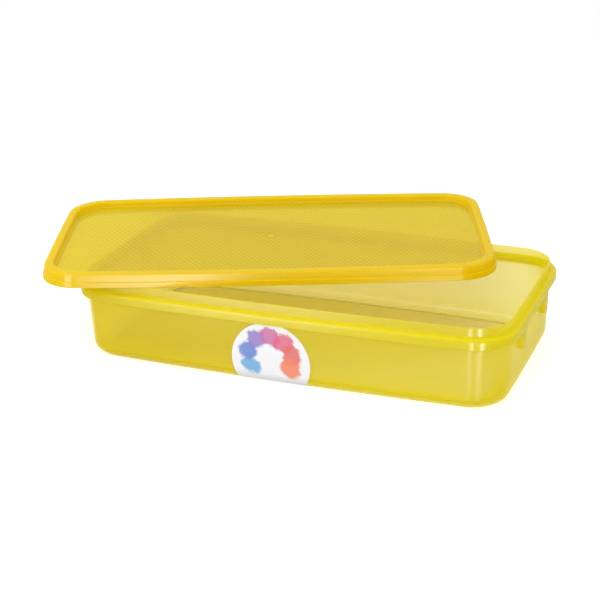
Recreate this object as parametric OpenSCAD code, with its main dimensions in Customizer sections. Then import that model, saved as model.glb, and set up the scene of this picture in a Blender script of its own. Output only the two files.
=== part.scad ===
// Wet palette: a shallow moulded tray, a press-on lid lying askew on it, a damp sponge and palette paper.
// Millimetres. X runs along the tray, -Y is the labelled front, and Z is up from the table.
//
// The tray and the lid are thin mouldings of one outline: a long rounded rectangle whose sides bow outwards.
// Each is a closed section, a list of [inset, height] points, carried round that outline. The inset is always
// measured inwards from the outer edge of the tray's flange, so what seats on the flange shares its figures.

/* [Tray] */
// Length over the flange, measured at its corners
flange_length = 320; // [250:1:400]
// Width over the flange, measured at its corners
flange_width = 164; // [130:1:240]
// Height from the table to the top of the lip
tray_height = 60.5; // [50:0.5:90]
// Outer radius of the flange's corners
flange_corner = 26; // [20:0.5:36]
// How far each long side bows outwards at its middle
side_bow = 3.5; // [0:0.5:6]
// How far each short end bows outwards at its middle
end_bow = 0.9; // [0:0.1:3]
// Thickness of the tray's walls and floor
tray_wall = 1.3; // [1:0.1:2]
// How far the foot of each wall lies inside its top
wall_draft = 1.6; // [1:0.2:5]
// Outer radius where the walls turn into the floor
foot_radius = 8.6; // [4:0.2:12]

/* [Flange and lip] */
// How far the flange stands out beyond the walls
flange_overhang = 4; // [3.5:0.1:6]
// Height of the flange's outer band
flange_band = 7; // [5:0.5:9]
// Height of the lip above the flange
lip_height = 7; // [6:0.5:10]
// Thickness of the lip
lip_wall = 1; // [0.8:0.1:1.3]
// Radius of the rounded edges
edge_radius = 1; // [0.5:0.1:1.2]

/* [End lugs] */
// Distance between the two lugs under the flange at each end
lug_spacing = 64; // [40:2:90]
// Width of a lug along the end wall
lug_width = 10; // [6:1:16]
// How far each side of a lug leans in from its top to its foot
lug_taper = 1; // [0:0.2:2]
// Radius of a lug's two lower corners
lug_round = 1.6; // [0.5:0.1:2]
// How far a lug reaches down below the flange
lug_drop = 15.3; // [8:0.1:18]
// How far a lug stands in from the flange's outer edge
lug_setback = 0.2; // [0:0.1:2]

/* [Lid] */
// Thickness of the lid
lid_wall = 1.1; // [0.9:0.1:1.6]
// How far the skirt reaches down past the flange's top when the lid is closed
skirt_grip = 2.1; // [1.5:0.1:4]
// How far the skirt's flared lower band reaches up past the flange's top when the lid is closed
band_rise = 2.3; // [1.6:0.1:2.8]
// Clearance between the flared band and the flange's outer edge
snap_clearance = 0.15; // [0.05:0.05:0.4]
// Clearance between the skirt's upper part and the flange's edge line, measured inwards
skirt_step = 0.9; // [0.6:0.1:1.4]
// How far the skirt leans in between its band and the rim
skirt_draft = 0.4; // [0:0.1:0.8]
// Clearance between the lid's plug and the inside of the lip
plug_clearance = 0.15; // [0.05:0.05:0.4]
// Depth of the lid's panel below the top of its rim
panel_recess = 4.5; // [3:0.5:6]
// How far the lid's plug rim reaches above the skirt's bottom edge
plug_rise = 0; // [0:0.5:2]
// Diameter of the moulding gate's mark at the middle of the panel
gate_diameter = 3.2; // [2:0.2:5]
// Height of the gate's mark
gate_height = 0.4; // [0.2:0.1:0.8]

/* [Lid as it lies] */
// Angle by which the lid is turned on the tray
lid_turn = 21; // [15:1:25]
// Shift of the lid's centre along X
lid_shift_x = -49.3; // [-56:0.1:-42]
// Shift of the lid's centre along Y
lid_shift_y = 30.5; // [24:0.1:34]
// Gap between the lip and the lid that lies on it
lid_rest_gap = 0.1; // [0.05:0.05:0.4]

/* [Sponge and paper] */
// Thickness of the sponge
sponge_thickness = 3; // [2:0.5:12]
// Gap between the sponge and the curve at the foot of the walls
sponge_gap = 1; // [0.5:0.5:6]
// Thickness of the palette paper
paper_thickness = 0.3; // [0.2:0.1:1]
// How far the paper's edge lies inside the sponge's edge
paper_margin = 2; // [1:0.5:8]
// Gap between faces that only rest on each other
rest_gap = 0.05; // [0.02:0.01:0.2]

/* [Label] */
// Diameter of the round label
label_diameter = 58; // [30:1:70]
// Thickness of the label
label_thickness = 0.2; // [0.1:0.1:0.5]
// Distance from the tray's middle to the label's middle, along X
label_x = -5.3; // [-40:0.1:40]
// Gap between the label's top and the flange above it
label_gap = 0.1; // [0.1:0.1:4]
// Height at which the label's foot ends, short of the table
label_foot = 0.8; // [0.5:0.1:3]

/* [Fineness] */
// Straight steps in each rounded corner of the outline
corner_steps = 9; // [6:1:16]
// Straight steps along each bowed long side
side_steps = 10; // [6:1:20]
// Straight steps along each bowed short end
end_steps = 6; // [4:1:12]
// Straight steps in the quarter round at the foot of the walls
foot_steps = 6; // [4:1:12]

/* [Hidden] */

tray_yellow = [0.86, 0.78, 0.24];
lid_yellow = [0.91, 0.76, 0.10];
sponge_yellow = [0.93, 0.86, 0.55];
paper_white = [0.95, 0.94, 0.88];
label_white = [0.94, 0.94, 0.95];

// The corners of the outline get tighter by this share of the inset
corner_share = 0.5;

flange_top = tray_height - lip_height;
flange_under = flange_top - flange_band;
foot_inset = flange_overhang + wall_draft;

// The lip's inner face is flush with the inside of the walls
lip_inner = flange_overhang + tray_wall;
lip_outer = lip_inner - lip_wall;
wall_top = flange_top - tray_wall;
wall_lean = atan(wall_draft / (wall_top - foot_radius));

// The lid's own figures follow the flange and the lip that it closes on
band_inner = -snap_clearance;
band_outer = band_inner - lid_wall;
skirt_inner = skirt_step;
skirt_outer = skirt_inner - lid_wall;
plug_outer = lip_inner + plug_clearance;
plug_inner = plug_outer + lid_wall;
skirt_band = skirt_grip + band_rise;
skirt_height = lip_height + skirt_grip + lid_wall;
skirt_lean = atan(skirt_draft / (skirt_height - 1.8 - skirt_band));
panel_top = skirt_height - panel_recess;
panel_under = panel_top - lid_wall;
channel_roof = skirt_height - lid_wall;
lid_rest = tray_height + lid_rest_gap;

// The sponge lies on the floor, inside the curve at the foot of the walls
sponge_inset = foot_inset + foot_radius + sponge_gap;
sponge_under = tray_wall + rest_gap;
paper_under = sponge_under + sponge_thickness + rest_gap;

// The label hangs from the flange; its rows lie close together round the foot of the wall and then follow
// even steps of arc, and the angle of the last one leaves the disc a short flat at its top
label_tip = 86;
label_r = label_diameter / 2;
label_z = flange_under - label_gap - label_r;
label_low = max(label_foot, label_z - label_r * sin(label_tip));
label_bend = asin(1 - min(1, label_low / foot_radius));
label_from = asin((max(label_low, foot_radius) - label_z) / label_r);
label_rows = concat(
    label_bend > 0 ? [for (i = [0:7]) foot_radius * (1 - sin(label_bend * (1 - i / 8)))] : [],
    [for (i = [0:12]) label_z + label_r * sin(label_from + (label_tip - label_from) * i / 12)]
);

// ---------------------------------------------------------------- outline

function corner_at(inset) = max(1, flange_corner - corner_share * inset);

// One corner's arc, counted anticlockwise from the corner at +X +Y
function corner_arc(quarter, half_l, half_w, r) =
    let (sx = quarter == 0 || quarter == 3 ? 1 : -1, sy = quarter < 2 ? 1 : -1)
    [for (i = [0:corner_steps])
        let (a = 90 * (quarter + i / corner_steps))
        [sx * (half_l - r) + r * cos(a), sy * (half_w - r) + r * sin(a)]];

// The points strictly between two corners, on the straight run that joins them
function run_between(from, to, steps) =
    [for (i = [1:steps - 1]) from + (to - from) * i / steps];

function rounded_rectangle(half_l, half_w, r) =
    let (arcs = [for (q = [0:3]) corner_arc(q, half_l, half_w, r)])
    [for (q = [0:3])
        let (next = arcs[(q + 1) % 4], last = arcs[q][corner_steps])
        each concat(arcs[q], run_between(last, next[0], q % 2 == 0 ? side_steps : end_steps))];

// Pushes each side outwards by a parabola that is fullest at its middle and nothing at its ends
function bowed(p, half_l, half_w) =
    [p.x * (1 + end_bow / half_l * (1 - pow(p.y / half_w, 2))),
     p.y * (1 + side_bow / half_w * (1 - pow(p.x / half_l, 2)))];

function outline(inset) =
    let (half_l = flange_length / 2 - inset, half_w = flange_width / 2 - inset)
    [for (p = rounded_rectangle(half_l, half_w, corner_at(inset))) bowed(p, half_l, half_w)];

// ---------------------------------------------------------------- closed sections

// Carries a section of [inset, height] points round the outline. The section runs from the middle of the
// underside out to the edge and back in to the middle of the top, and both ends are closed by flat faces.
module moulding(section) {
    rings = [for (s = section) [for (p = outline(s[0])) [p.x, p.y, s[1]]]];
    count = len(rings[0]);
    last = len(rings) - 1;
    points = [for (ring = rings) each ring];
    under = [for (i = [0:count - 1]) i];
    over = [for (i = [count - 1:-1:0]) last * count + i];
    sides = [for (k = [0:last - 1], i = [0:count - 1])
        let (j = (i + 1) % count, low = k * count, high = low + count)
        each [[low + i, high + j, low + j], [low + i, high + i, high + j]]];
    polyhedron(points, concat([under], sides, [over]), convexity = 8);
}

// A quarter round of n steps about a centre, from one angle to another
function round_off(centre, r, from, to, n) =
    [for (i = [0:n]) let (a = from + (to - from) * i / n) centre + r * [cos(a), sin(a)]];

foot_centre = [foot_inset + foot_radius, foot_radius];

tray_section = concat(
    // underside and the outer curve at the foot of the wall
    round_off(foot_centre, foot_radius, 270, 180 + wall_lean, foot_steps),
    // up the wall, into the channel under the flange and down inside its turned-down band
    [[flange_overhang, wall_top],
     [tray_wall, wall_top],
     [tray_wall, flange_under]],
    // round the band's foot, up its face and over its shoulder to the lip
    [[edge_radius * 0.5, flange_under],
     [0, flange_under + edge_radius * 0.5],
     [0, flange_top - 1.6 * edge_radius]],
    round_off([1.6 * edge_radius, flange_top - 1.6 * edge_radius], 1.6 * edge_radius, 150, 90, 2),
    [[lip_outer, flange_top]],
    // the lip and its rounded top
    [[lip_outer, tray_height - lip_wall / 2]],
    round_off([lip_outer + lip_wall / 2, tray_height - lip_wall / 2], lip_wall / 2, 135, 0, 3),
    [[lip_inner, wall_top]],
    // down the inside to the floor
    round_off(foot_centre, foot_radius - tray_wall, 180 + wall_lean, 270, foot_steps)
);

lid_section = concat(
    // underside of the panel, down the plug's inner face and round its foot
    [[plug_inner + edge_radius, panel_under],
     [plug_inner, panel_under - edge_radius],
     [plug_inner, plug_rise],
     [plug_outer, plug_rise]],
    // up into the channel, across its roof and down inside the skirt to the flared band
    [[plug_outer, channel_roof],
     [skirt_inner + skirt_draft, channel_roof],
     [skirt_inner, skirt_band],
     [band_inner, skirt_band - 0.8],
     [band_inner, 0]],
    // the flared band, the step above it and the skirt's upper part
    [[band_outer + edge_radius * 0.3, 0],
     [band_outer, edge_radius * 0.3],
     [band_outer, skirt_band - 0.7],
     [band_outer + 0.4, skirt_band],
     [skirt_outer, skirt_band + 0.3]],
    round_off([skirt_outer + skirt_draft + 1.5, skirt_height - 1.5], 1.5, 180 - skirt_lean, 90, 4),
    // across the rim's top and down its inner wall to the panel
    round_off([plug_inner - edge_radius, skirt_height - edge_radius], edge_radius, 90, 0, 2),
    round_off([plug_inner + 2 * edge_radius, panel_top + 1.6 * edge_radius], 1.6 * edge_radius, 195, 270, 3)
);

// ---------------------------------------------------------------- pieces

// How far in from the flange's edge the tray's outer face lies at a height
function wall_inset(z) =
    z >= foot_radius
        ? foot_inset - wall_draft * (z - foot_radius) / (wall_top - foot_radius)
        : foot_inset + foot_radius - sqrt(max(0, pow(foot_radius, 2) - pow(foot_radius - z, 2)));

// A tapered tab under the flange at one end, rooted halfway into the leaning, bowed wall
module lug() {
    top = flange_top - tray_wall / 2;
    foot = flange_under - lug_drop;
    bow = end_bow * (1 - pow(lug_spacing / flange_width, 2));
    root = flange_length / 2 + bow - tray_wall / 2;
    face = flange_length / 2 - lug_setback;
    intersection() {
        // seen from the side: from the wall out to the face, its lower edge eased
        rotate([90, 0, 0])
            linear_extrude(height = lug_width, center = true)
                polygon([[root - wall_inset(flange_under), top], [face, top],
                         [face, foot + edge_radius], [face - edge_radius, foot],
                         [root - wall_inset(foot), foot]]);
        // seen from the end: tapered, its two lower corners rounded
        translate([root - foot_inset - tray_wall, 0, 0])
            rotate([90, 0, 90])
                linear_extrude(height = 2 * foot_inset)
                    offset(r = lug_round, $fn = 24)
                        offset(delta = -lug_round)
                            polygon([[-lug_width / 2, top], [lug_taper - lug_width / 2, foot],
                                     [lug_width / 2 - lug_taper, foot], [lug_width / 2, top],
                                     [lug_width / 2, top + lug_drop], [-lug_width / 2, top + lug_drop]]);
    }
}

module tray() {
    color(tray_yellow) {
        moulding(tray_section);
        for (end = [0, 1], side = [-1, 1])
            mirror([end, 0, 0])
                translate([0, side * lug_spacing / 2, 0])
                    lug();
    }
}

// The lid is drawn square to the tray, then laid askew on the lip
module as_it_lies() {
    translate([lid_shift_x, lid_shift_y, lid_rest])
        rotate([0, 0, lid_turn])
            children();
}

module lid() {
    color(lid_yellow)
        as_it_lies() {
            moulding(lid_section);
            translate([0, 0, panel_top - gate_height])
                cylinder(h = 2 * gate_height, d = gate_diameter, $fn = 32);
        }
}

// A flat sheet whose edge follows the outline at an inset
module flat_sheet(inset, under, thickness) {
    translate([0, 0, under])
        linear_extrude(height = thickness)
            polygon(outline(inset));
}

module sponge() {
    color(sponge_yellow)
        flat_sheet(sponge_inset, sponge_under, sponge_thickness);
}

module palette_paper() {
    color(paper_white)
        flat_sheet(sponge_inset + paper_margin, paper_under, paper_thickness);
}

// A point on the front of the tray at a height, stood off squarely from the wall or from the round at its foot
function front_point(x, z, off) =
    let (turn = asin(max(0, 1 - z / foot_radius)),
         inset = wall_inset(z) - off * cos(turn),
         half_l = flange_length / 2 - inset)
    [x, -(flange_width / 2 - inset + side_bow * (1 - pow(x / half_l, 2))), z - off * sin(turn)];

// Half the label's width at a height
function label_half(z) = sqrt(max(0, pow(label_r, 2) - pow(z - label_z, 2)));

module label() {
    columns = 8;
    last = len(label_rows) - 1;
    back = [for (z = label_rows, j = [0:columns])
        front_point(label_x + label_half(z) * (2 * j / columns - 1), z, rest_gap)];
    face = [for (z = label_rows, j = [0:columns])
        front_point(label_x + label_half(z) * (2 * j / columns - 1), z, rest_gap + label_thickness)];
    n = len(back);
    function at(k, j) = k * (columns + 1) + j;
    cells = [for (k = [0:last - 1], j = [0:columns - 1])
        each [[at(k, j), at(k + 1, j + 1), at(k + 1, j)], [at(k, j), at(k, j + 1), at(k + 1, j + 1)]]];
    loop = concat([for (j = [0:columns]) at(0, j)], [for (k = [1:last]) at(k, columns)],
        [for (j = [columns - 1:-1:0]) at(last, j)], [for (k = [last - 1:-1:1]) at(k, 0)]);
    edge = [for (i = [0:len(loop) - 1])
        let (a = loop[i], b = loop[(i + 1) % len(loop)])
        each [[a, n + a, n + b], [a, n + b, b]]];
    color(label_white)
        polyhedron(concat(back, face),
            concat(cells, [for (c = cells) [n + c[2], n + c[1], n + c[0]]], edge), convexity = 4);
}

tray();
lid();
sponge();
palette_paper();
label();
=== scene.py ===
"""A wet palette: a translucent tray, its press-on lid lying askew on it, a damp sponge and palette paper.

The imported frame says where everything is. The pieces here are finer meshes of the same mouldings, carried
round the same bowed outline, with the finish of each surface. All lengths are in metres.
"""

from __future__ import annotations

import logging
import math
from dataclasses import dataclass, field
from enum import Enum

import bmesh
import bpy
import numpy as np
from bpy.types import Material, Node, NodeSocket, Object, World
from mathutils import Matrix, Vector


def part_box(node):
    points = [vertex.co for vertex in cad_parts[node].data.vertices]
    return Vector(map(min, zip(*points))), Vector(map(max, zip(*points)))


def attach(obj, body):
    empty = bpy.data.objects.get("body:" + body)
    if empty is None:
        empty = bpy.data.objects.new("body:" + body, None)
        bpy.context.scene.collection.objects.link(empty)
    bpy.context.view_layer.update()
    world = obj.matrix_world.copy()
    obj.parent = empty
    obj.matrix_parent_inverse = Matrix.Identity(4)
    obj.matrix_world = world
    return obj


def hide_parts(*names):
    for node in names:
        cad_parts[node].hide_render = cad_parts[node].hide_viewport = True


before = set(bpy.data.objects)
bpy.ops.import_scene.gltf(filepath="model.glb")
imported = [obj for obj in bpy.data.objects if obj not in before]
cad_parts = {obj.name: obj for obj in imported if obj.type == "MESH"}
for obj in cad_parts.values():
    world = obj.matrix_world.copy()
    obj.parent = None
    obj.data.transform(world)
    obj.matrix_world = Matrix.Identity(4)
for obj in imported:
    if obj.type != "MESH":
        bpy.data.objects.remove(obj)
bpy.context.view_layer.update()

LOG = logging.getLogger("wet_palette")
MM = 0.001


# ---------- names and shared helpers


class Body(str, Enum):
    """The bodies that pieces ride on."""

    TRAY = "tray"
    LID = "lid"
    SPONGE = "sponge"
    PAPER = "palette_paper"


class Slot(str, Enum):
    """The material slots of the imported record."""

    TRAY = "tray_plastic"
    LID = "lid_plastic"
    SPONGE = "sponge_foam"
    PAPER = "paper"
    STICKER = "sticker"


Colour = tuple[float, float, float]
Point = tuple[float, float, float]
Faces = list[tuple[int, ...]]
Profile = list[tuple[float, float]]  # points of inset and height
Section = list[tuple[float, float, float]]  # points of inset, height and share of gathered colour

WHITE = (1.0, 1.0, 1.0, 1.0)
GATHER = "gather"  # the mesh value that carries each point's share of gathered colour
THIN, FAINT, DEEP = 0.0, 0.1, 1.0  # shares of gathered colour: open wall, start of a rim, rim


def srgb(red: int, green: int, blue: int) -> Colour:
    """Turns a screen colour, whose channels run from 0 to 255, into the linear one that shaders use."""
    shares = (channel / 255 for channel in (red, green, blue))
    return tuple(s / 12.92 if s <= 0.04045 else ((s + 0.055) / 1.055) ** 2.4 for s in shares)


def round_off(centre: tuple[float, float], radius: float, start: float, end: float, steps: int) -> Profile:
    """A run of profile points along an arc.

    Args:
        centre: The arc's centre, as inset and height.
        radius: The arc's radius.
        start: The angle of the first point, in degrees.
        end: The angle of the last point, in degrees.
        steps: How many straight steps the arc has.

    Returns:
        The points, first and last included.
    """
    angles = np.radians(np.linspace(start, end, steps + 1))
    return [(centre[0] + radius * math.cos(a), centre[1] + radius * math.sin(a)) for a in angles]


def weigh(profile: Profile, share: float) -> Section:
    """Gives each point of a profile the share of gathered colour that its plastic shows."""
    return [(inset, z, share) for inset, z in profile]


def bands(count: int, rings: int) -> Faces:
    """Joins closed rings of points, each to the next, with four-sided faces.

    Args:
        count: How many points each ring has.
        rings: How many rings there are; their points are numbered ring after ring.

    Returns:
        The faces.
    """
    return [
        (k * count + i, k * count + (i + 1) % count, (k + 1) * count + (i + 1) % count, (k + 1) * count + i)
        for k in range(rings - 1)
        for i in range(count)
    ]


def mesh_piece(
    name: str, points: np.ndarray, faces: Faces, crease: float = 32.0, gather: np.ndarray | None = None
) -> Object:
    """Makes a smooth-shaded mesh object.

    Args:
        name: The object's name.
        points: Its points, one row each.
        faces: Its faces, as point numbers.
        crease: Edges sharper than this, in degrees, stay crisp.
        gather: Each point's share of gathered colour, if its finish has one.

    Returns:
        The linked object.
    """
    mesh = bpy.data.meshes.new(name)
    mesh.from_pydata([tuple(p) for p in points], [], faces)
    mesh.validate()
    shaper = bmesh.new()
    shaper.from_mesh(mesh)
    bmesh.ops.recalc_face_normals(shaper, faces=shaper.faces)
    shaper.to_mesh(mesh)
    shaper.free()
    mesh.update()
    mesh.shade_smooth()
    mesh.set_sharp_from_angle(angle=math.radians(crease))
    if gather is not None:
        mesh.attributes.new(GATHER, "FLOAT", "POINT").data.foreach_set("value", gather.astype(np.float32))
    piece = bpy.data.objects.new(name, mesh)
    even = piece.modifiers.new("even_shading", "WEIGHTED_NORMAL")
    even.keep_sharp = True
    bpy.context.scene.collection.objects.link(piece)
    return piece


# ---------- the outline that everything follows


@dataclass(frozen=True)
class Outline:
    """The flange's outer edge: a rounded rectangle whose sides bow outwards."""

    length: float = 320 * MM
    width: float = 164 * MM
    corner: float = 26 * MM
    corner_share: float = 0.5
    least_corner: float = 1 * MM
    side_bow: float = 3.5 * MM
    end_bow: float = 0.9 * MM
    corner_steps: int = 22
    side_steps: int = 44
    end_steps: int = 24

    def ring(self, inset: float) -> np.ndarray:
        """The outline at a distance inside the flange's edge.

        Args:
            inset: That distance; it is negative outside the edge.

        Returns:
            The closed ring's points, anticlockwise, as rows of x and y.
        """
        half_l, half_w = self.length / 2 - inset, self.width / 2 - inset
        radius = max(self.least_corner, self.corner - self.corner_share * inset)
        arcs = []
        for quarter, (side_x, side_y) in enumerate(((1, 1), (-1, 1), (-1, -1), (1, -1))):
            angles = np.radians(90 * (quarter + np.linspace(0, 1, self.corner_steps + 1)))
            x = side_x * (half_l - radius) + radius * np.cos(angles)
            y = side_y * (half_w - radius) + radius * np.sin(angles)
            arcs.append(np.column_stack([x, y]))
        runs = []
        for quarter, arc in enumerate(arcs):
            steps = self.side_steps if quarter % 2 == 0 else self.end_steps
            shares = (np.arange(1, steps) / steps)[:, None]
            runs += [arc, arc[-1] + (arcs[(quarter + 1) % 4][0] - arc[-1]) * shares]
        x, y = np.concatenate(runs).T
        # each side is pushed outwards by a parabola that is fullest at its middle
        stretch_x = 1 + self.end_bow / half_l * (1 - (y / half_w) ** 2)
        stretch_y = 1 + self.side_bow / half_w * (1 - (x / half_l) ** 2)
        return np.column_stack([x * stretch_x, y * stretch_y])

    def carry(self, section: Section) -> tuple[np.ndarray, Faces, np.ndarray]:
        """Carries a section round the outline and closes both ends with flat faces.

        Args:
            section: Its points, from the middle of the underside to the middle of the top.

        Returns:
            The points, the faces, and each point's share of gathered colour.
        """
        rings = []
        for inset, z, _ in section:
            flat = self.ring(inset)
            rings.append(np.column_stack([flat, np.full(len(flat), z)]))
        count, last = len(rings[0]), len(rings) - 1
        underside = tuple(range(count - 1, -1, -1))
        top = tuple(last * count + i for i in range(count))
        faces = [underside, *bands(count, len(rings)), top]
        return np.concatenate(rings), faces, np.repeat([share for _, _, share in section], count)


OUTLINE = Outline()


# ---------- finishes


class Nodes:
    """A small hand for writing node trees."""

    def __init__(self, block: Material | World) -> None:
        """Empties a material's or a world's node tree.

        Args:
            block: The material or the world.
        """
        block.use_nodes = True
        self.block = block
        self.tree = block.node_tree
        self.tree.nodes.clear()
        kind = "World" if isinstance(block, World) else "Material"
        self.output = self.tree.nodes.new(f"ShaderNodeOutput{kind}")

    def put(self, socket: NodeSocket, value: object) -> None:
        """Links an input to another node's socket, or sets its value.

        Args:
            socket: The input.
            value: A socket or a value; a colour may come without its alpha.
        """
        if isinstance(value, NodeSocket):
            self.tree.links.new(value, socket)
        else:
            bare_colour = isinstance(value, tuple) and len(value) == 3
            socket.default_value = (*value, 1.0) if bare_colour else value

    def add(self, kind: str, **inputs: object) -> Node:
        """Adds a node and sets or links its inputs by name.

        Args:
            kind: The node's type.
            **inputs: Values or sockets by input name, underscores for spaces, or the node's attributes.

        Returns:
            The node.
        """
        node = self.tree.nodes.new(kind)
        for key, value in inputs.items():
            label = key.replace("_", " ")
            if hasattr(node, key) and label not in node.inputs:
                setattr(node, key, value)
            else:
                self.put(node.inputs[label], value)
        return node

    def fill(self, kind: str, *terms: object, **settings: str) -> Node:
        """Adds a node and sets or links its inputs in order.

        Args:
            kind: The node's type.
            *terms: Values or sockets.
            **settings: The node's own settings, such as its operation.

        Returns:
            The node.
        """
        node = self.tree.nodes.new(kind)
        for key, setting in settings.items():
            setattr(node, key, setting)
        for socket, term in zip(node.inputs, terms):
            self.put(socket, term)
        return node

    def math(self, operation: str, *terms: object) -> NodeSocket:
        """Adds a Math node that works on values or sockets, in order."""
        return self.fill("ShaderNodeMath", *terms, operation=operation).outputs[0]

    def noise(self, place: NodeSocket, scale: float, detail: float, roughness: float = 0.5) -> NodeSocket:
        """Adds a Noise Texture node with about as many swells to a metre as its scale says."""
        node = self.add("ShaderNodeTexNoise", Vector=place, Scale=scale, Detail=detail, Roughness=roughness)
        return node.outputs[0]

    def relief(self, height: NodeSocket, strength: float, depth: float) -> NodeSocket:
        """Adds a Bump node that lifts the surface by up to the depth, in metres."""
        return self.add("ShaderNodeBump", Strength=strength, Distance=depth, Height=height).outputs[0]

    def blend(self, share: object, first: object, second: object, mode: str = "MIX") -> NodeSocket:
        """Mixes two colours.

        Args:
            share: How much of the second colour shows.
            first: The first colour or socket.
            second: The second colour or socket.
            mode: How the second colour is laid on.

        Returns:
            The mixed colour's socket.
        """
        node = self.fill("ShaderNodeMix", data_type="RGBA", blend_type=mode)
        for place, value in ((0, share), (6, first), (7, second)):
            self.put(node.inputs[place], value)
        return node.outputs[2]

    def mix_shaders(self, share: object, first: Node, second: Node) -> Node:
        """Adds a Mix Shader node, where the share is how much of the second shader shows."""
        return self.fill("ShaderNodeMixShader", share, first.outputs[0], second.outputs[0])

    def film(self, under: Node, ior: float, share: float, roughness: object, relief: NodeSocket) -> Node:
        """Lays a clear mirroring film over a shader, on outward faces only.

        Args:
            under: The shader below.
            ior: The film's index of refraction.
            share: How much of the film's reflection shows.
            roughness: Its roughness.
            relief: The socket of its bumped normal.

        Returns:
            The Mix Shader node.
        """
        outside = self.math("SUBTRACT", 1.0, self.add("ShaderNodeNewGeometry").outputs["Backfacing"])
        sheen = self.math("MULTIPLY", self.add("ShaderNodeFresnel", IOR=ior).outputs[0], outside)
        if share < 1.0:
            sheen = self.math("MULTIPLY", sheen, share)
        mirror = self.add("ShaderNodeBsdfAnisotropic", Color=WHITE, Roughness=roughness, Normal=relief)
        return self.mix_shaders(sheen, under, mirror)

    def finish(self, shader: Node) -> Material | World:
        """Links the last shader to the output and returns the material or the world."""
        self.put(self.output.inputs["Surface"], shader.outputs[0])
        return self.block


@dataclass(frozen=True)
class MilkyPlastic:
    """Thin translucent polypropylene, where light scatters back, glows through or passes straight.

    Rims and bands gather the light that runs inside the plastic: they have colours of their own and let
    less pass (rim_clear) than open walls do (clear_share). What is seen aslant lets less pass too
    (edge_loss). The moulded skin mirrors its surroundings over all of that (gloss).
    """

    name: str
    body: Colour
    glow: Colour
    tint: Colour
    rim_body: Colour
    rim_glow: Colour
    rim_tint: Colour
    glow_share: float
    clear_share: float
    rim_clear: float
    edge_loss: float = 0.5
    gloss: float = 0.336
    ior: float = 1.49
    roughness: float = 0.22
    roughness_swing: float = 0.1
    flow_scale: float = 16.0
    flow_strength: float = 0.5
    deep: float = 0.93
    pale: float = 1.05
    grain_scale: float = 900.0
    grain_strength: float = 0.35
    grain_height: float = 0.012 * MM

    def material(self) -> Material:
        """Builds the plastic, with the faint mottle that the melt leaves and a fine moulded grain.

        Returns:
            The material.
        """
        n = Nodes(bpy.data.materials.new(self.name))
        place = n.add("ShaderNodeTexCoord").outputs["Object"]
        gather = n.add("ShaderNodeAttribute", attribute_name=GATHER).outputs["Fac"]
        flow = n.noise(place, self.flow_scale, detail=3.0, roughness=0.55)
        mottle = n.math("MULTIPLY_ADD", n.math("SUBTRACT", flow, 0.5), self.flow_strength, 0.5)
        colour = n.blend(gather, self.body, self.rim_body)
        deep = n.blend(1.0, colour, (self.deep,) * 3, mode="MULTIPLY")
        pale = n.blend(1.0, colour, (self.pale,) * 3, mode="MULTIPLY")
        grain = n.noise(place, self.grain_scale, detail=2.0)
        relief = n.relief(grain, self.grain_strength, self.grain_height)
        smoothest = self.roughness - self.roughness_swing / 2
        polish = n.math("MULTIPLY_ADD", flow, self.roughness_swing, smoothest)
        skin = n.add(
            "ShaderNodeBsdfPrincipled",
            Base_Color=n.blend(mottle, deep, pale),
            Roughness=polish,
            Specular_IOR_Level=0.0,
            Normal=relief,
        )
        glow = n.add("ShaderNodeBsdfTranslucent", Color=n.blend(gather, self.glow, self.rim_glow))
        clear = n.add("ShaderNodeBsdfTransparent", Color=n.blend(gather, self.tint, self.rim_tint))
        lit = n.mix_shaders(self.glow_share, skin, glow)
        thin_share = n.math("MULTIPLY_ADD", gather, self.rim_clear - self.clear_share, self.clear_share)
        aslant = n.add("ShaderNodeLayerWeight", Blend=0.5).outputs["Facing"]
        open_share = n.math("MULTIPLY", thin_share, n.math("MULTIPLY_ADD", aslant, -self.edge_loss, 1.0))
        plastic = n.mix_shaders(open_share, lit, clear)
        return n.finish(n.film(plastic, self.ior, self.gloss, polish, relief))


@dataclass(frozen=True)
class DampSponge:
    """Fine-pored viscose sponge, with painted shade darkening its pores."""

    name: str
    face: Colour
    # pore is the colour of the painted shade inside the pores
    pore_shade: Colour
    pore_scale: float = 520.0
    pore_bottom: float = 0.12
    pore_brim: float = 0.45
    cloud_scale: float = 40.0
    cloud_swing: float = 0.3
    cloud_least: float = 0.75
    relief_strength: float = 0.6
    relief_height: float = 0.3 * MM
    roughness: float = 0.72
    fuzz: float = 0.08

    def material(self) -> Material:
        """Builds the sponge's finish: pores with painted shade in them, soft random clouds of tone and a
        little fuzz.

        Returns:
            The material.
        """
        n = Nodes(bpy.data.materials.new(self.name))
        place = n.add("ShaderNodeTexCoord").outputs["Object"]
        cells = n.add("ShaderNodeTexVoronoi", Vector=place, Scale=self.pore_scale, Randomness=1.0)
        pores = n.add(
            "ShaderNodeMapRange",
            Value=cells.outputs["Distance"],
            From_Min=self.pore_bottom,
            From_Max=self.pore_brim,
        ).outputs[0]
        cloud = n.noise(place, self.cloud_scale, detail=3.0)
        # painted shade: the pores darken towards the pore colour, under soft random clouds of tone
        pore_shade_and_tone = n.math("MULTIPLY", pores, n.math("MULTIPLY_ADD", cloud, self.cloud_swing, self.cloud_least))
        skin = n.add(
            "ShaderNodeBsdfPrincipled",
            Base_Color=n.blend(n.math("MINIMUM", pore_shade_and_tone, 1.0), self.pore_shade, self.face),
            Roughness=self.roughness,
            Sheen_Weight=self.fuzz,
            Normal=n.relief(pores, self.relief_strength, self.relief_height),
        )
        return n.finish(skin)


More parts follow.
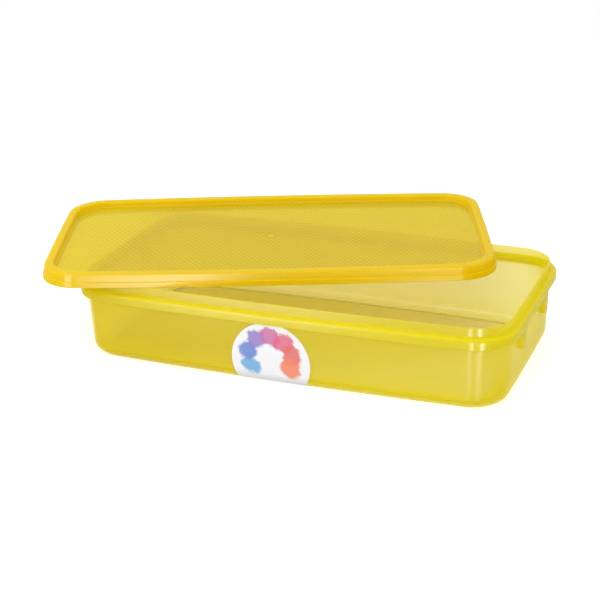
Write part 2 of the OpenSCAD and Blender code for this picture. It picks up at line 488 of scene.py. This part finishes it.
@dataclass(frozen=True)
class DampPaper:
    """Palette paper: semi-transparent, with a faint fibre and a wet film over it."""

    name: str
    colour: Colour
    clear_share: float
    tint: Colour = (1.0, 0.98, 0.92)
    dim: float = 0.97
    roughness: float = 0.42
    fibre_scale: float = 700.0
    fibre_share: float = 0.6
    cloud_scale: float = 60.0
    relief_strength: float = 0.25
    relief_height: float = 0.1 * MM
    film_ior: float = 1.4
    film_roughness: float = 0.16

    def material(self) -> Material:
        """Builds the paper's finish: mottled fibre, partly seen through, under the wet film.

        Returns:
            The material.
        """
        n = Nodes(bpy.data.materials.new(self.name))
        place = n.add("ShaderNodeTexCoord").outputs["Object"]
        fibre = n.noise(place, self.fibre_scale, detail=4.0, roughness=0.6)
        cloud = n.noise(place, self.cloud_scale, detail=2.0)
        fine = n.math("MULTIPLY", fibre, self.fibre_share)
        broad = n.math("MULTIPLY", cloud, 1 - self.fibre_share)
        dimmed = tuple(channel * self.dim for channel in self.colour)
        relief = n.relief(fibre, self.relief_strength, self.relief_height)
        skin = n.add(
            "ShaderNodeBsdfPrincipled",
            Base_Color=n.blend(n.math("ADD", fine, broad), dimmed, self.colour),
            Roughness=self.roughness,
            Normal=relief,
        )
        clear = n.add("ShaderNodeBsdfTransparent", Color=self.tint)
        damp = n.mix_shaders(self.clear_share, skin, clear)
        return n.finish(n.film(damp, self.film_ior, 1.0, self.film_roughness, relief))


@dataclass(frozen=True)
class Dab:
    """One printed dab of colour: its place as a share of the label's radius, its size and its colour."""

    x: float
    z: float
    size: float
    colour: Colour


@dataclass(frozen=True)
class PrintedSticker:
    """Coated white paper with a generic ring of printed paint dabs."""

    name: str
    middle: tuple[float, float]
    radius: float
    dabs: tuple[Dab, ...]
    paper: Colour = srgb(240, 240, 243)
    wobble_scale: float = 130.0
    unevenness: float = 0.34
    full_share: float = 0.72
    ink_strength: float = 0.92
    roughness: float = 0.32
    ior: float = 1.5

    def material(self) -> Material:
        """Builds the sticker: each dab is a blurred, slightly uneven disc of ink laid over the last.

        Returns:
            The material.
        """
        n = Nodes(bpy.data.materials.new(self.name))
        place = n.add("ShaderNodeTexCoord").outputs["Object"]
        split = n.add("ShaderNodeSeparateXYZ", Vector=place)
        wobble = n.noise(place, self.wobble_scale, detail=4.0, roughness=0.6)
        across = n.math("DIVIDE", n.math("SUBTRACT", split.outputs[0], self.middle[0]), self.radius)
        up = n.math("DIVIDE", n.math("SUBTRACT", split.outputs[2], self.middle[1]), self.radius)
        uneven = n.math("MULTIPLY", n.math("SUBTRACT", wobble, 0.5), self.unevenness)
        paper = n.add("ShaderNodeRGB")
        paper.outputs[0].default_value = (*self.paper, 1.0)
        colour = paper.outputs[0]
        for dab in self.dabs:
            dx = n.math("SUBTRACT", across, dab.x)
            dz = n.math("SUBTRACT", up, dab.z)
            away = n.math("SQRT", n.math("ADD", n.math("MULTIPLY", dx, dx), n.math("MULTIPLY", dz, dz)))
            ink = n.add(
                "ShaderNodeMapRange",
                Value=n.math("ADD", away, uneven),
                From_Min=dab.size,
                From_Max=dab.size * self.full_share,
            ).outputs[0]
            colour = n.blend(n.math("MULTIPLY", ink, self.ink_strength), colour, dab.colour)
        skin = n.add("ShaderNodeBsdfPrincipled", Base_Color=colour, Roughness=self.roughness, IOR=self.ior)
        return n.finish(skin)


# ---------- pieces


def dress(piece: Object, material: Material, slot: Slot, body: Body, *nodes: str) -> None:
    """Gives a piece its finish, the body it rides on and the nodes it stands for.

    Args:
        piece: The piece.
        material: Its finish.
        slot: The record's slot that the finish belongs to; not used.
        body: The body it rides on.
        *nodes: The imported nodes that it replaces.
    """
    piece.data.materials.clear()
    piece.data.materials.append(material)
    if nodes:
        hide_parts(*nodes)
    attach(piece, body.value)
    LOG.info("%s: %d faces, rides on %s", piece.name, len(piece.data.polygons), body.value)


@dataclass
class Tray:
    """The moulded tray: floor, leaning walls, turned-down flange, standing lip and four end lugs."""

    height: float = 60.5 * MM
    wall: float = 1.3 * MM
    draft: float = 1.6 * MM
    foot_radius: float = 8.6 * MM
    overhang: float = 4.0 * MM
    band: float = 7.0 * MM
    lip_height: float = 7.0 * MM
    lip_wall: float = 1.0 * MM
    flange_round: float = 1.6 * MM
    lug_spacing: float = 64 * MM
    lug_width: float = 10 * MM
    lug_taper: float = 1.0 * MM
    lug_round: float = 1.6 * MM
    lug_drop: float = 15.3 * MM
    lug_setback: float = 0.2 * MM
    lug_root: float = 0.5 * MM
    lug_ease: float = 0.7 * MM
    lug_gather: float = 0.8

    @property
    def flange_top(self) -> float:
        """Height of the flange's upper face."""
        return self.height - self.lip_height

    @property
    def flange_under(self) -> float:
        """Height of the foot of the flange's turned-down band."""
        return self.flange_top - self.band

    @property
    def wall_top(self) -> float:
        """Height at which the wall meets the flange's underside."""
        return self.flange_top - self.wall

    @property
    def foot_inset(self) -> float:
        """Distance of the wall's foot inside the flange's edge."""
        return self.overhang + self.draft

    @property
    def lean(self) -> float:
        """The wall's lean from upright, in degrees."""
        return math.degrees(math.atan(self.draft / (self.wall_top - self.foot_radius)))

    def wall_inset(self, z: float) -> float:
        """Distance of the wall's outer face inside the flange's edge.

        Args:
            z: The height to find it at.

        Returns:
            The distance.
        """
        if z >= self.foot_radius:
            share = (z - self.foot_radius) / (self.wall_top - self.foot_radius)
            return self.foot_inset - self.draft * share
        drop = self.foot_radius - z
        return self.foot_inset + self.foot_radius - math.sqrt(self.foot_radius**2 - drop**2)

    def section(self) -> Section:
        """The tray's section, from the middle of its underside round to the middle of its floor.

        Returns:
            Points of inset, height and share of gathered colour.
        """
        foot = (self.foot_inset + self.foot_radius, self.foot_radius)
        lip_inner = self.overhang + self.wall
        lip_outer = lip_inner - self.lip_wall
        under, top, wall_top = self.flange_under, self.flange_top, self.wall_top
        crown, root = self.flange_round, 0.5 * MM
        band_end, lip_end = self.wall / 2, self.lip_wall / 2
        # depths below the top of the wall, each with its share
        outside = [(30 * MM, THIN), (6 * MM, FAINT)]
        inside = [(0.8 * MM, 0.9), (2 * MM, FAINT), (12 * MM, THIN)]
        band = [
            (self.overhang, wall_top - root),
            *round_off((self.overhang - root, wall_top - root), root, 0, 90, 3),
            *round_off((self.wall + root, wall_top - root), root, 90, 180, 3),
            *round_off((band_end, under + band_end), band_end, 360, 180, 8),
            *round_off((crown, top - crown), crown, 180, 90, 8),
            (lip_outer - root, top),
        ]
        return [
            *weigh(round_off(foot, self.foot_radius, 270, 180 + self.lean, 14), 0.15),
            *((self.wall_inset(wall_top - d), wall_top - d, share) for d, share in outside),
            *weigh(band, DEEP),
            *weigh(round_off((lip_outer - root, top + root), root, 270, 360, 4), 0.8),
            (lip_outer, top + 1.8 * MM, 0.25),
            *weigh(round_off((lip_outer + lip_end, self.height - lip_end), lip_end, 180, 0, 8), 0.15),
            (lip_inner, top + 1.2 * MM, FAINT),
            (lip_inner, top + 0.3 * MM, 0.9),
            *((self.wall_inset(wall_top - d) + self.wall, wall_top - d, share) for d, share in inside),
            *weigh(round_off(foot, self.foot_radius - self.wall, 180 + self.lean, 270, 14), THIN),
        ]

    def build(self, material: Material) -> list[Object]:
        """Builds the tray and dresses it.

        Args:
            material: The tray's plastic.

        Returns:
            The pieces made.
        """
        points, faces, gather = OUTLINE.carry(self.section())
        shell = mesh_piece("tray_shell", points, faces, gather=gather)
        dress(shell, material, Slot.TRAY, Body.TRAY, "tray")
        pieces = [shell]
        for end, end_name in ((-1, "left"), (1, "right")):
            for side, side_name in ((-1, "front"), (1, "back")):
                lug = self.lug(f"lug_{end_name}_{side_name}", end, side)
                dress(lug, material, Slot.TRAY, Body.TRAY)
                pieces.append(lug)
        return pieces

    def lug(self, name: str, end: int, side: int) -> Object:
        """Builds one tapered tab in the channel under the flange.

        Args:
            name: The tab's name.
            end: 1 at the +X end, or -1.
            side: 1 on the +Y side, or -1.

        Returns:
            The tab.
        """
        top, foot = self.flange_under + self.lug_root, self.flange_under - self.lug_drop
        half_l = OUTLINE.length / 2
        bow = OUTLINE.end_bow * (1 - (self.lug_spacing / OUTLINE.width) ** 2)
        face = half_l - self.lug_setback
        half, r, ease = self.lug_width / 2, self.lug_round, self.lug_ease
        tilt = math.degrees(math.atan(self.lug_taper / self.lug_drop))
        edge = [(half, top), *round_off((half - self.lug_taper - r, foot + r), r, tilt, -90, 7)]
        outline = edge + [(-y, z) for y, z in reversed(edge)]
        hub = foot + 2 * r
        rings = []
        for depth, pull in ((0.0, ease), (0.3 * ease, 0.3 * ease), (ease, 0.0)):
            shares = [1 - pull / math.hypot(y, z - hub) if z < top else 1.0 for y, z in outline]
            rings.append([(face - depth, y * k, hub + (z - hub) * k) for (y, z), k in zip(outline, shares)])
        rings.append([(half_l + bow - self.wall_inset(z) - self.wall / 2, y, z) for y, z in outline])
        points = [(end * x, side * self.lug_spacing / 2 + y, z) for ring in rings for x, y, z in ring]
        count, last = len(outline), len(rings) - 1
        sides = [(a, d, c, b) for a, b, c, d in bands(count, len(rings))]
        faces = [tuple(range(count)), *sides, tuple(last * count + i for i in reversed(range(count)))]
        if end > 0:
            faces = [corners[::-1] for corners in faces]
        gather = np.full(len(points), self.lug_gather)
        return mesh_piece(name, np.array(points), faces, crease=40.0, gather=gather)


@dataclass
class Lid:
    """The press-on lid as it lies: flared snap band, stepped skirt, plug rim and recessed panel."""

    tray: Tray
    wall: float = 1.1 * MM
    grip: float = 2.1 * MM
    band_rise: float = 2.3 * MM
    snap_clearance: float = 0.15 * MM
    step: float = 0.9 * MM
    skirt_draft: float = 0.4 * MM
    plug_clearance: float = 0.15 * MM
    recess: float = 4.5 * MM
    gate_diameter: float = 5.0 * MM
    gate_height: float = 0.4 * MM
    turn: float = 21.0  # degrees
    shift_x: float = -49.3 * MM
    shift_y: float = 30.5 * MM
    rest_gap: float = 0.1 * MM
    pip_pitch: float = 4.2 * MM
    pip_radius: float = 1.25 * MM
    pip_height: float = 0.16 * MM
    pip_margin: float = 3.5 * MM
    crown_gather: float = 0.8
    pip_gather: float = 0.4

    @property
    def skirt_height(self) -> float:
        """Height of the whole lid."""
        return self.tray.lip_height + self.grip + self.wall

    @property
    def panel_top(self) -> float:
        """Height of the panel's upper face above the skirt's foot."""
        return self.skirt_height - self.recess

    @property
    def plug_inner(self) -> float:
        """Distance of the plug's inner face inside the flange's edge."""
        return self.tray.overhang + self.tray.wall + self.plug_clearance + self.wall

    def section(self) -> Section:
        """The lid's section, from the middle of its underside round to the middle of its panel.

        Returns:
            Points of inset, height and share of gathered colour.
        """
        high, roof = self.skirt_height, self.skirt_height - self.wall
        band = self.grip + self.band_rise
        band_inner = -self.snap_clearance
        band_outer = band_inner - self.wall
        skirt_outer = self.step - self.wall
        plug_inner, plug_outer = self.plug_inner, self.plug_inner - self.wall
        under = self.panel_top - self.wall
        soft, fine, rim, fillet = 1.0 * MM, 0.35 * MM, 1.5 * MM, 1.2 * MM
        lean = math.degrees(math.atan(self.skirt_draft / (high - rim - band)))
        hidden = [
            (plug_inner, fine),
            *round_off((plug_inner - fine, fine), fine, 0, -90, 3),
            *round_off((plug_outer + fine, fine), fine, 270, 180, 3),
            (plug_outer, roof - fine),
            *round_off((plug_outer - fine, roof - fine), fine, 0, 90, 3),
            *round_off((self.step + self.skirt_draft + fine, roof - fine), fine, 90, 180, 3),
            (self.step, band),
            (band_inner, band - 0.8 * MM),
            (band_inner, fine),
            *round_off((band_inner - fine, fine), fine, 0, -90, 3),
        ]
        skirt = [
            *round_off((band_outer + fine, fine), fine, 270, 180, 4),
            *round_off((band_outer + 0.4 * MM, band - 0.7 * MM), 0.4 * MM, 180, 100, 4),
            (skirt_outer - 0.05 * MM, band - 0.22 * MM),
            (skirt_outer, band),
            (skirt_outer, band + 0.6 * MM),
        ]
        shoulder = round_off((skirt_outer + self.skirt_draft + rim, high - rim), rim, 180 - lean, 90, 9)
        crest = round_off((plug_inner - soft, high - soft), soft, 90, 0, 6)
        return [
            *weigh(round_off((plug_inner + soft, under - soft), soft, 90, 180, 5), THIN),
            *weigh(hidden + skirt + shoulder[:4], DEEP),
            *weigh(shoulder[4:] + crest[:2], self.crown_gather),
            *weigh(crest[2:4], 0.6),
            *weigh(crest[4:], DEEP),
            (plug_inner, self.panel_top + fillet, 0.9),
            *weigh(round_off((plug_inner + fillet, self.panel_top + fillet), fillet, 190, 250, 5), 0.5),
            (plug_inner + fillet, self.panel_top, FAINT),
            (plug_inner + 3 * soft, self.panel_top, THIN),
        ]

    def as_it_lies(self, points: np.ndarray) -> np.ndarray:
        """Moves points from the lid's own square frame to its place on the tray.

        Args:
            points: Rows of x, y and z.

        Returns:
            The moved points.
        """
        turn = math.radians(self.turn)
        cos, sin = math.cos(turn), math.sin(turn)
        spin = np.array([[cos, -sin, 0], [sin, cos, 0], [0, 0, 1]])
        shift = np.array([self.shift_x, self.shift_y, self.tray.height + self.rest_gap])
        return np.asarray(points, float) @ spin.T + shift

    def pips(self) -> tuple[np.ndarray, Faces]:
        """The panel's relief: low round pips in staggered rows.

        Returns:
            The points and the faces.
        """
        sides, rings = 8, ((1.0, 0.0), (0.72, 0.62))  # shares of radius and height
        half_l = OUTLINE.length / 2 - self.plug_inner - self.pip_margin
        half_w = OUTLINE.width / 2 - self.plug_inner - self.pip_margin
        corner = OUTLINE.corner - OUTLINE.corner_share * self.plug_inner
        row_pitch = self.pip_pitch * math.sqrt(3) / 2
        rows = int((half_w + OUTLINE.side_bow) // row_pitch)
        points: list[Point] = []
        faces: Faces = []
        angles = [2 * math.pi * i / sides for i in range(sides)]
        for row in range(-rows, rows + 1):
            y = row * row_pitch
            stagger = self.pip_pitch / 2 if row % 2 else 0.0
            columns = int((half_l - stagger) // self.pip_pitch) + 1
            for column in range(-columns, columns + 1):
                x = column * self.pip_pitch + stagger
                side = half_w + OUTLINE.side_bow * (1 - (x / half_l) ** 2) if abs(x) < half_l else 0.0
                over_x = max(0.0, abs(x) - (half_l - corner))
                over_y = max(0.0, abs(y) - (half_w - corner))
                on_gate = math.hypot(x, y) < self.gate_diameter
                if abs(y) > side or abs(x) > half_l or math.hypot(over_x, over_y) > corner or on_gate:
                    continue
                base = len(points)
                for radius, rise in rings:
                    reach = radius * self.pip_radius
                    z = self.panel_top + rise * self.pip_height
                    points += [(x + reach * math.cos(a), y + reach * math.sin(a), z) for a in angles]
                points.append((x, y, self.panel_top + self.pip_height))
                for i in range(sides):
                    j = (i + 1) % sides
                    faces.append((base + i, base + j, base + sides + j, base + sides + i))
                    faces.append((base + sides + i, base + sides + j, base + 2 * sides))
        return np.array(points), faces

    def gate(self) -> tuple[np.ndarray, Faces]:
        """The gate's mark: a low round boss with a dished top at the middle of the panel.

        Returns:
            The points and the faces.
        """
        sides = 32
        radius = self.gate_diameter / 2
        steps = ((1.0, 0.0), (0.97, 0.7), (0.88, 1.0), (0.45, 0.9), (0.12, 0.7))  # of radius and height
        angles = [2 * math.pi * i / sides for i in range(sides)]
        points = []
        for share, rise in steps:
            reach, z = share * radius, self.panel_top + rise * self.gate_height
            points += [(reach * math.cos(a), reach * math.sin(a), z) for a in angles]
        last = (len(steps) - 1) * sides
        return np.array(points), [*bands(sides, len(steps)), tuple(range(last, last + sides))]

    def build(self, material: Material) -> list[Object]:
        """Builds the lid and dresses it.

        Args:
            material: The lid's plastic.

        Returns:
            The pieces made.
        """
        points, faces, gather = OUTLINE.carry(self.section())
        shell = mesh_piece("lid_shell", self.as_it_lies(points), faces, gather=gather)
        dress(shell, material, Slot.LID, Body.LID, "lid")
        pieces = [shell]
        for name, (points, faces), share in (
            ("lid_pips", self.pips(), self.pip_gather),
            ("lid_gate_mark", self.gate(), DEEP),
        ):
            gather = np.full(len(points), share)
            piece = mesh_piece(name, self.as_it_lies(points), faces, crease=60.0, gather=gather)
            dress(piece, material, Slot.LID, Body.LID)
            pieces.append(piece)
        return pieces


@dataclass
class Contents:
    """What makes the box a wet palette: the sponge on the floor and the paper on the sponge."""

    tray: Tray
    gap: float = 1.0 * MM
    paper_margin: float = 2.0 * MM
    edge_ease: float = 0.9 * MM
    paper_thickness: float = 0.12 * MM
    paper_gap: float = 0.02 * MM
    paper_rings: int = 15
    cockle: float = 0.08 * MM

    @property
    def sponge_inset(self) -> float:
        """Distance of the sponge's edge inside the flange's edge."""
        return self.tray.foot_inset + self.tray.foot_radius + self.gap

    def sponge(self, material: Material) -> Object:
        """Builds the sponge, with soft edges.

        Args:
            material: The sponge's finish.

        Returns:
            The piece.
        """
        low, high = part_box("sponge")
        inset, ease = self.sponge_inset + self.edge_ease, self.edge_ease
        profile = [
            *round_off((inset, low.z + ease), ease, 270, 180, 4),
            *round_off((inset, high.z - ease), ease, 180, 90, 5),
        ]
        points, faces, _ = OUTLINE.carry(weigh(profile, THIN))
        piece = mesh_piece("sponge_pad", points, faces)
        dress(piece, material, Slot.SPONGE, Body.SPONGE, "sponge")
        return piece

    def paper(self, material: Material) -> Object:
        """Builds the paper as fine rings of faces with shallow cockles, lying on the sponge.

        Args:
            material: The paper's finish.

        Returns:
            The piece.
        """
        low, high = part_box("palette_paper")
        edge = OUTLINE.ring(self.sponge_inset + self.paper_margin)
        shares = np.linspace(1.0, 0.0, self.paper_rings + 1)[:-1]
        floor = low.z + self.paper_gap
        rings = []
        for share in shares:
            x, y = edge[:, 0] * share, edge[:, 1] * share
            # two crossed swells and a finer slanting one, in radians to a metre
            wave = np.sin(x * 95 + 1.3) * np.sin(y * 120 + 0.4) + 0.5 * np.sin(x * 210 - y * 160)
            rise = self.cockle * (0.5 + wave / 3) * (0.3 + 0.7 * share)
            rings.append(np.column_stack([x, y, floor + rise]))
        points = np.concatenate([*rings, [[0, 0, floor]]])
        count, middle = len(edge), len(points) - 1
        last = middle - count
        fan = [(last + i, last + (i + 1) % count, middle) for i in range(count)]
        piece = mesh_piece("paper_sheet", points, bands(count, len(rings)) + fan)
        thick = piece.modifiers.new("thickness", "SOLIDIFY")
        thick.thickness = self.paper_thickness
        thick.offset = 1.0
        x, y = edge[:, 0], edge[:, 1]
        dress(piece, material, Slot.PAPER, Body.PAPER, "palette_paper")
        return piece


@dataclass
class Label:
    """The round sticker on the front wall; its foot follows the round at the foot of the wall."""

    tray: Tray
    diameter: float = 58 * MM
    thickness: float = 0.2 * MM
    stand_off: float = 0.05 * MM
    x: float = -5.3 * MM
    gap: float = 0.1 * MM
    foot: float = 0.8 * MM
    tip: float = 88.0  # degrees: where on its circle the top row of points is
    columns: int = 24
    round_rows: int = 14
    wall_rows: int = 30

    @property
    def z(self) -> float:
        """Height of the label's middle."""
        return self.tray.flange_under - self.gap - self.diameter / 2

    def front_point(self, x: float, z: float, off: float) -> Point:
        """A point on the tray's front, stood off squarely.

        Args:
            x: Place along the tray.
            z: Height.
            off: Distance off the surface.

        Returns:
            The point.
        """
        turn = math.asin(max(0.0, 1 - z / self.tray.foot_radius))
        inset = self.tray.wall_inset(z) - off * math.cos(turn)
        half_l = OUTLINE.length / 2 - inset
        y = -(OUTLINE.width / 2 - inset + OUTLINE.side_bow * (1 - (x / half_l) ** 2))
        return (x, y, z - off * math.sin(turn))

    def rows(self) -> list[float]:
        """Places the label's rows of points.

        Returns:
            Their heights, from the cut foot to the top.
        """
        radius, foot_radius = self.diameter / 2, self.tray.foot_radius
        bend = math.asin(1 - self.foot / foot_radius)
        shares = (1 - i / self.round_rows for i in range(self.round_rows))
        round_rows = [foot_radius * (1 - math.sin(bend * share)) for share in shares]
        start = math.degrees(math.asin((foot_radius - self.z) / radius))
        angles = np.radians(np.linspace(start, self.tip, self.wall_rows))
        return round_rows + [self.z + radius * math.sin(a) for a in angles]

    def build(self, material: Material) -> Object:
        """Builds the label as a thin closed skin.

        Args:
            material: The printed sticker's finish.

        Returns:
            The piece.
        """
        rows = self.rows()
        radius = self.diameter / 2
        points: list[Point] = []
        for off in (self.stand_off + self.thickness, self.stand_off):
            for z in rows:
                half = math.sqrt(max(0.0, radius**2 - (z - self.z) ** 2))
                for j in range(self.columns + 1):
                    points.append(self.front_point(self.x + half * (2 * j / self.columns - 1), z, off))
        wide, last = self.columns + 1, len(rows) - 1
        back = wide * len(rows)
        faces: Faces = []
        for k in range(last):
            for j in range(self.columns):
                here, above = k * wide + j, (k + 1) * wide + j
                quad = (here, here + 1, above + 1, above)
                faces += [quad, tuple(back + i for i in reversed(quad))]
        # the cut edge: along the foot, up one side, back along the top, down the other
        loop = [*range(wide), *(k * wide + self.columns for k in range(1, last + 1))]
        loop += [last * wide + j for j in range(self.columns - 1, -1, -1)]
        loop += [k * wide for k in range(last - 1, 0, -1)]
        for i, here in enumerate(loop):
            there = loop[(i + 1) % len(loop)]
            faces.append((here, back + here, back + there, there))
        piece = mesh_piece("label_sticker", np.array(points), faces, crease=40.0)
        dress(piece, material, Slot.STICKER, Body.TRAY, "label")
        return piece


# ---------- camera, floor and light


@dataclass
class Studio:
    """A white floor, plain soft light and the camera.

    Angles are in degrees. The focal length and the slides are in pixels of a render_px wide render.
    """

    focal_px: float = 1434.63
    render_px: float = 600.0
    azimuth: float = 22.187
    elevation: float = 22.194
    roll: float = -1.581
    distance: float = 1.044585
    aim: Vector = field(default_factory=lambda: Vector((0, 0, 30 * MM)))
    slide_right: float = 19.305
    slide_down: float = 3.421
    sensor: float = 36.0
    clip_start: float = 0.01
    floor_half: float = 1.0
    floor_grey: float = 0.7
    floor_seen: float = 0.6
    floor_mirrored: float = 0.154
    surround: float = 0.494
    strip_reach: float = 1.2

    def camera(self) -> None:
        """Makes the camera."""
        a, e, r = (math.radians(v) for v in (self.azimuth, self.elevation, self.roll))
        back = Vector((math.sin(a) * math.cos(e), -math.cos(a) * math.cos(e), math.sin(e)))
        level = Vector((math.cos(a), math.sin(a), 0))
        upright = back.cross(level)
        right = level * math.cos(r) + upright * math.sin(r)
        up = -level * math.sin(r) + upright * math.cos(r)
        per_px = self.distance / self.focal_px
        data = bpy.data.cameras.new("camera")
        data.sensor_width = self.sensor
        data.lens = self.focal_px / self.render_px * self.sensor
        data.clip_start = self.clip_start
        camera = bpy.data.objects.new("camera", data)
        bpy.context.scene.collection.objects.link(camera)
        turn = Matrix((right, up, back)).transposed().to_4x4()
        slide = right * -self.slide_right + up * self.slide_down
        camera.matrix_world = Matrix.Translation(self.aim + back * self.distance + slide * per_px) @ turn
        bpy.context.scene.camera = camera

    def floor(self) -> None:
        """Makes the floor, white to the camera, with the object's shadow on it."""
        corners = ((-1, -1, 0), (1, -1, 0), (1, 1, 0), (-1, 1, 0))
        floor = mesh_piece("floor", self.floor_half * np.array(corners, float), [(0, 1, 2, 3)])
        n = Nodes(bpy.data.materials.new("floor_white"))
        path = n.add("ShaderNodeLightPath").outputs
        beyond = n.math("MAXIMUM", path["Is Glossy Ray"], path["Is Transmission Ray"])
        direct = n.math("MULTIPLY", path["Is Camera Ray"], self.floor_seen)
        lift = n.math("MULTIPLY_ADD", beyond, self.floor_mirrored, direct)
        matt = n.add("ShaderNodeBsdfDiffuse", Color=(self.floor_grey,) * 3)
        glow = n.add("ShaderNodeEmission", Color=WHITE, Strength=lift)
        both = n.fill("ShaderNodeAddShader", matt.outputs[0], glow.outputs[0])
        floor.data.materials.append(n.finish(both))
        floor.visible_glossy = False
        floor.visible_shadow = False

    def world(self) -> None:
        """Sets a surround that the camera sees as full white and that lights the object gently."""
        n = Nodes(bpy.data.worlds.new("surround"))
        path = n.add("ShaderNodeLightPath").outputs
        seen = path["Is Camera Ray"]
        for kind in ("Is Glossy Ray", "Is Transmission Ray"):
            seen = n.math("MAXIMUM", seen, path[kind])
        strength = n.add("ShaderNodeMapRange", Value=seen, To_Min=self.surround, To_Max=1.0).outputs[0]
        bpy.context.scene.world = n.finish(n.add("ShaderNodeBackground", Color=WHITE, Strength=strength))

    def lamp(self, name: str, spot: Vector, size: tuple[float, float], power: float) -> Object:
        """Makes a soft rectangular lamp that points at the object.

        Args:
            name: The lamp's name.
            spot: Its place.
            size: Its width and height.
            power: Its power in watts.

        Returns:
            The lamp.
        """
        data = bpy.data.lights.new(name, "AREA")
        data.shape = "RECTANGLE"
        data.size, data.size_y = size
        data.energy = power
        lamp = bpy.data.objects.new(name, data)
        bpy.context.scene.collection.objects.link(lamp)
        lamp.location = spot
        lamp.rotation_euler = (self.aim - spot).to_track_quat("-Z", "Y").to_euler()
        lamp.visible_camera = False
        return lamp

    def strip(self, name: str, start: float, end: float, foot: float, top: float, glow: float) -> None:
        """Makes an upright strip lamp that only shows as gloss on the object.

        Args:
            name: The strip's name.
            start: The bearing of one edge, in degrees from straight in front.
            end: The bearing of the other edge.
            foot: The height of its foot, below the floor so that upright faces mirror it.
            top: The height of its top.
            glow: How bright its face is, where 1 is white.
        """
        bearing = math.radians((start + end) / 2)
        width = 2 * self.strip_reach * math.tan(math.radians(end - start) / 2)
        height = top - foot
        across, along = self.strip_reach * math.sin(bearing), self.strip_reach * math.cos(bearing)
        spot = Vector((across, -along, (top + foot) / 2))
        strip = self.lamp(name, spot, (width, height), glow * math.pi * width * height)
        strip.rotation_euler = (Vector((0, 0, spot.z)) - spot).to_track_quat("-Z", "Y").to_euler()
        strip.visible_diffuse = False
        strip.visible_transmission = False

    def build(self) -> None:
        """Builds the whole studio."""
        self.camera()
        self.floor()
        self.world()
        self.lamp("lamp_above", Vector((-0.3, -0.2, 1.6)), size=(1.4, 1.4), power=11.35)
        self.lamp("lamp_left", Vector((-1.3, -0.9, 0.7)), size=(0.9, 0.7), power=5.45)
        self.lamp("lamp_right", Vector((1.4, -0.3, 0.6)), size=(0.8, 0.8), power=1.0)
        self.lamp("lamp_front", Vector((0.4, -1.3, 0.9)), size=(0.9, 0.7), power=6.26)
        self.strip("strip_left", start=2, end=12, foot=-0.55, top=0.02, glow=25.3)
        self.strip("strip_right", start=30, end=38, foot=-0.52, top=0.02, glow=47.2)
        self.strip("strip_side", start=-32, end=-13, foot=-0.42, top=0.8, glow=14.1)
        bpy.context.scene.view_settings.view_transform = "Standard"


# ---------- the build


TRAY_PLASTIC = MilkyPlastic(
    name="tray_plastic",
    body=srgb(244, 232, 28),
    glow=srgb(252, 239, 28),
    tint=srgb(250, 249, 231),
    rim_body=srgb(241, 232, 31),
    rim_glow=srgb(248, 239, 32),
    rim_tint=srgb(248, 246, 97),
    glow_share=0.5,
    clear_share=0.634,
    rim_clear=0.278,
)
LID_PLASTIC = MilkyPlastic(
    name="lid_plastic",
    body=srgb(228, 211, 30),
    glow=srgb(241, 223, 32),
    tint=srgb(253, 245, 116),
    rim_body=srgb(246, 224, 2),
    rim_glow=srgb(255, 234, 2),
    rim_tint=srgb(244, 242, 61),
    glow_share=0.45,
    clear_share=0.610,
    rim_clear=0.161,
)
# the sponge's pore colour is painted shade inside its pores
SPONGE_FINISH = DampSponge(name="sponge_foam", face=srgb(254, 242, 65), pore_shade=srgb(242, 230, 53))
PAPER_FINISH = DampPaper(name="paper", colour=srgb(254, 254, 243), clear_share=0.67)


def sticker_finish(label: Label) -> PrintedSticker:
    """The sticker's finish: a ring of paint dabs, cool on the left and warm on the right.

    Args:
        label: The label that the print is laid out on.

    Returns:
        The finish.
    """
    cool = ((70, 160, 215), (60, 105, 200), (120, 95, 190))
    warm = ((190, 70, 150), (215, 55, 110), (220, 70, 60), (235, 110, 50))
    inks = cool + warm
    first, sweep = 205, 230  # degrees
    radius, rise, size = 0.56, 0.10, 0.27  # shares of the label's radius
    dabs = []
    for i, ink in enumerate(inks):
        angle = math.radians(first - sweep * i / (len(inks) - 1))
        x, z = radius * math.cos(angle), rise + radius * math.sin(angle)
        dabs.append(Dab(x, z, size, srgb(*ink)))
    return PrintedSticker(
        name="sticker", middle=(label.x, label.z), radius=label.diameter / 2, dabs=tuple(dabs)
    )


def main() -> None:
    """Builds the palette and its studio."""
    logging.basicConfig(level=logging.INFO, format="%(name)s: %(message)s")
    Studio().build()
    tray = Tray()
    contents = Contents(tray)
    label = Label(tray)
    pieces = [
        *tray.build(TRAY_PLASTIC.material()),
        *Lid(tray).build(LID_PLASTIC.material()),
        contents.sponge(SPONGE_FINISH.material()),
        contents.paper(PAPER_FINISH.material()),
        label.build(sticker_finish(label).material()),
    ]
    LOG.info("%d pieces", len(pieces))


if __name__ == "__main__":
    main()
